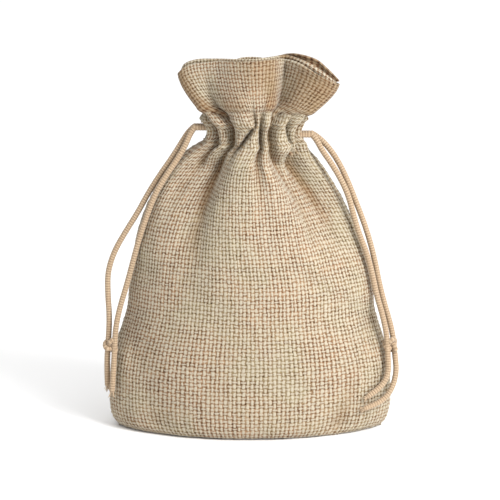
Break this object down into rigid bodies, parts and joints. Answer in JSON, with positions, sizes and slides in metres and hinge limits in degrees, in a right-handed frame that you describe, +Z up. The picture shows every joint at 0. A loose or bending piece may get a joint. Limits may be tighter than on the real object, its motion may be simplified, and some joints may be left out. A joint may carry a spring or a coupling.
{
  "type": "drawstring gift pouch",
  "caption": "Small woven-cloth gift pouch standing filled, its neck gathered by a pair of drawcords knotted at each side, with a flared ruffled header.",
  "frame": {"origin": "on the surface the pouch stands on, under the centre of its cloth body's bounding box; the free cords are left out of that box", "axes": "X runs across the pouch from its left side seam to its right, the front panel faces -Y, and Z is up through the neck"},
  "size_m": [0.1159, 0.0502, 0.147],
  "materials": {
    "burlap": "plain open weave of slubby beige yarn, matte",
    "braided_cord": "fine-ribbed braided cord, slight sheen",
    "sewing_thread": "twisted sewing thread"
  },
  "bodies": {
    "root": {"front_panel": "burlap", "back_panel": "burlap", "front_hem": "burlap", "back_hem": "burlap", "left_seam_allowance": "burlap", "right_seam_allowance": "burlap", "bottom_seam_allowance": "burlap", "left_seam_stitches": "sewing_thread", "right_seam_stitches": "sewing_thread", "bottom_seam_stitches": "sewing_thread", "lower_channel_stitches": "sewing_thread", "upper_channel_stitches": "sewing_thread", "left_cord_loop": "braided_cord", "right_cord_loop": "braided_cord"},
    "left_cord_pair": {"left_strand_front": "braided_cord", "left_strand_back": "braided_cord", "left_knot": "braided_cord"},
    "right_cord_pair": {"right_strand_front": "braided_cord", "right_strand_back": "braided_cord", "right_knot": "braided_cord"}
  },
  "joints": [
    {"name": "left_cord_swing", "type": "hinge", "parent": "root", "child": "left_cord_pair", "pos_m": [-0.0202, 0, 0.1199], "axis": [0, 1, 0], "range_deg": [0, 80]},
    {"name": "right_cord_swing", "type": "hinge", "parent": "root", "child": "right_cord_pair", "pos_m": [0.0228, 0, 0.1171], "axis": [0, -1, 0], "range_deg": [0, 80]}
  ]
}
